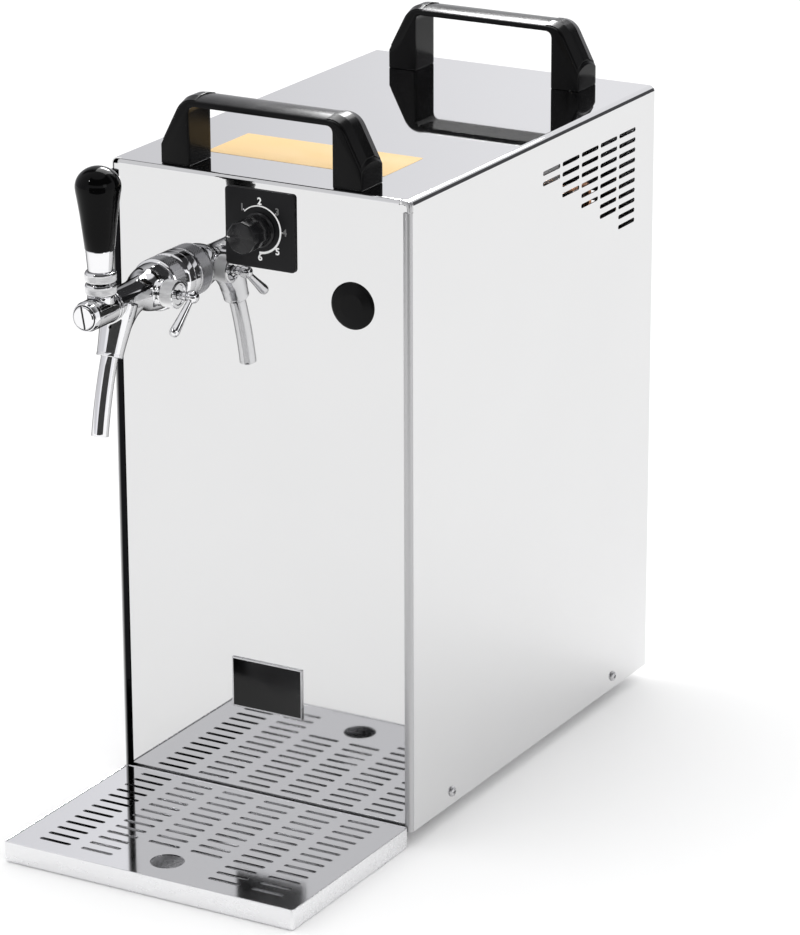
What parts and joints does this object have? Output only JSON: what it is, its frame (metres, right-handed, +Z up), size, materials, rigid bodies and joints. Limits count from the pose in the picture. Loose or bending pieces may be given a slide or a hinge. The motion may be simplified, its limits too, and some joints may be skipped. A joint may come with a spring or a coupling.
{
  "type": "draft beer dispenser",
  "caption": "Upright stainless beer cooler with carry handles, a dial thermostat, a compensator tap with a black lever, and a loose drip tray with a slotted grate.",
  "frame": {"origin": "bottom centre of the bounding box of the whole part, drip tray in place", "axes": "+Z is up, the tap and the drip tray are on the -Y side, +X is to the right seen from the front"},
  "size_m": [0.2548, 0.571, 0.5405],
  "materials": {
    "cabinet_steel": "bright polished stainless sheet",
    "mirror_steel": "mirror polished stainless sheet",
    "satin_steel": "satin stainless steel",
    "zinc_steel": "zinc plated steel",
    "black_plastic": "satin black moulded plastic",
    "badge_black": "plain black plate with a bright edge",
    "dial_plastic": "fine-grained black plastic with white figures",
    "knob_plastic": "glossy black plastic",
    "switch_plastic": "off-white plastic",
    "foot_rubber": "black rubber",
    "tap_chrome": "polished chrome",
    "knurled_steel": "knurled steel",
    "copper": "copper tube",
    "aluminium": "bare aluminium",
    "foam": "rigid foam",
    "motor_black": "black paint"
  },
  "bodies": {
    "cabinet": {"outer_cover": "cabinet_steel", "rear_panel": "cabinet_steel", "base_pan": "cabinet_steel", "front_panel": "mirror_steel", "beer_line_in": "satin_steel", "beer_line_out": "satin_steel", "foot_screws": "zinc_steel", "cover_screws": "zinc_steel", "rear_panel_screws": "zinc_steel", "handle_screws": "zinc_steel", "compressor_bolts": "zinc_steel", "condenser_frame": "zinc_steel", "front_handle": "black_plastic", "rear_handle": "black_plastic", "handle_caps": "black_plastic", "blanking_plug": "black_plastic", "cable_gland": "black_plastic", "gland_nut": "black_plastic", "terminal_box": "black_plastic", "fan_shroud": "black_plastic", "badge_plate": "badge_black", "thermostat_plate": "dial_plastic", "thermostat_switch": "switch_plastic", "feet": "foot_rubber", "compressor_mounts": "foot_rubber", "tap_shank": "tap_chrome", "shank_nut": "tap_chrome", "tap_body": "tap_chrome", "tap_front_cap": "tap_chrome", "tap_spout": "tap_chrome", "beer_inlet": "tap_chrome", "inlet_nut": "tap_chrome", "coupling_nut": "knurled_steel", "bonnet_ring": "knurled_steel", "compensator_nut": "knurled_steel", "thermostat_bulb": "copper", "condenser_tube": "copper", "discharge_line": "copper", "liquid_line": "copper", "suction_line": "copper", "cooling_block": "aluminium", "condenser_fins": "aluminium", "insulation_box": "foam", "insulation_lid": "foam", "compressor": "motor_black", "fan_motor": "motor_black"},
    "tap_lever": {"lever_stem": "tap_chrome", "lever_ring": "knurled_steel", "lever_ferrule": "tap_chrome", "lever_knob": "knob_plastic"},
    "tap_piston": {"valve_piston": "switch_plastic", "valve_seals": "foot_rubber"},
    "compensator_arm": {"compensator_lever": "tap_chrome"},
    "compensator_plug": {"compensator_cone": "switch_plastic"},
    "thermostat_dial": {"thermostat_spindle": "satin_steel", "thermostat_knob": "knob_plastic"},
    "fan": {"fan_blade": "black_plastic"},
    "tray": {"drip_tray": "satin_steel"},
    "grate": {"drip_grate": "mirror_steel"}
  },
  "joints": [
    {"name": "tap_lever_swing", "type": "hinge", "parent": "cabinet", "child": "tap_lever", "pos_m": [-0.073, -0.213, 0.419], "axis": [1, 0, 0], "range_deg": [0, 25]},
    {"name": "tap_piston_slide", "type": "slide", "parent": "cabinet", "child": "tap_piston", "axis": [0, 1, 0], "range_m": [0, 0.00524]},
    {"name": "compensator_turn", "type": "hinge", "parent": "cabinet", "child": "compensator_arm", "pos_m": [-0.073, -0.155, 0.407], "axis": [1, 0, 0], "range_deg": [-39, 51]},
    {"name": "compensator_slide", "type": "slide", "parent": "cabinet", "child": "compensator_plug", "axis": [0, 1, 0], "range_m": [-0.00223, 0.00171]},
    {"name": "thermostat_turn", "type": "hinge", "parent": "cabinet", "child": "thermostat_dial", "pos_m": [0.002, -0.1185, 0.4532], "axis": [0, 1, 0], "range_deg": [0, 270]},
    {"name": "fan_spin", "type": "hinge", "parent": "cabinet", "child": "fan", "pos_m": [0, 0.173, 0.343], "axis": [0, 1, 0], "continuous": true},
    {"name": "tray_pull", "type": "slide", "parent": "cabinet", "child": "tray", "axis": [0, -1, 0], "range_m": [0, 0.2]},
    {"name": "grate_lift", "type": "slide", "parent": "tray", "child": "grate", "axis": [0, 0, 1], "range_m": [0, 0.05]}
  ],
  "couplings": [
    {"joint": "tap_piston_slide", "follows": "tap_lever_swing", "m_per_rad": 0.012},
    {"joint": "compensator_slide", "follows": "compensator_turn", "m_per_rad": -0.0025}
  ]
}
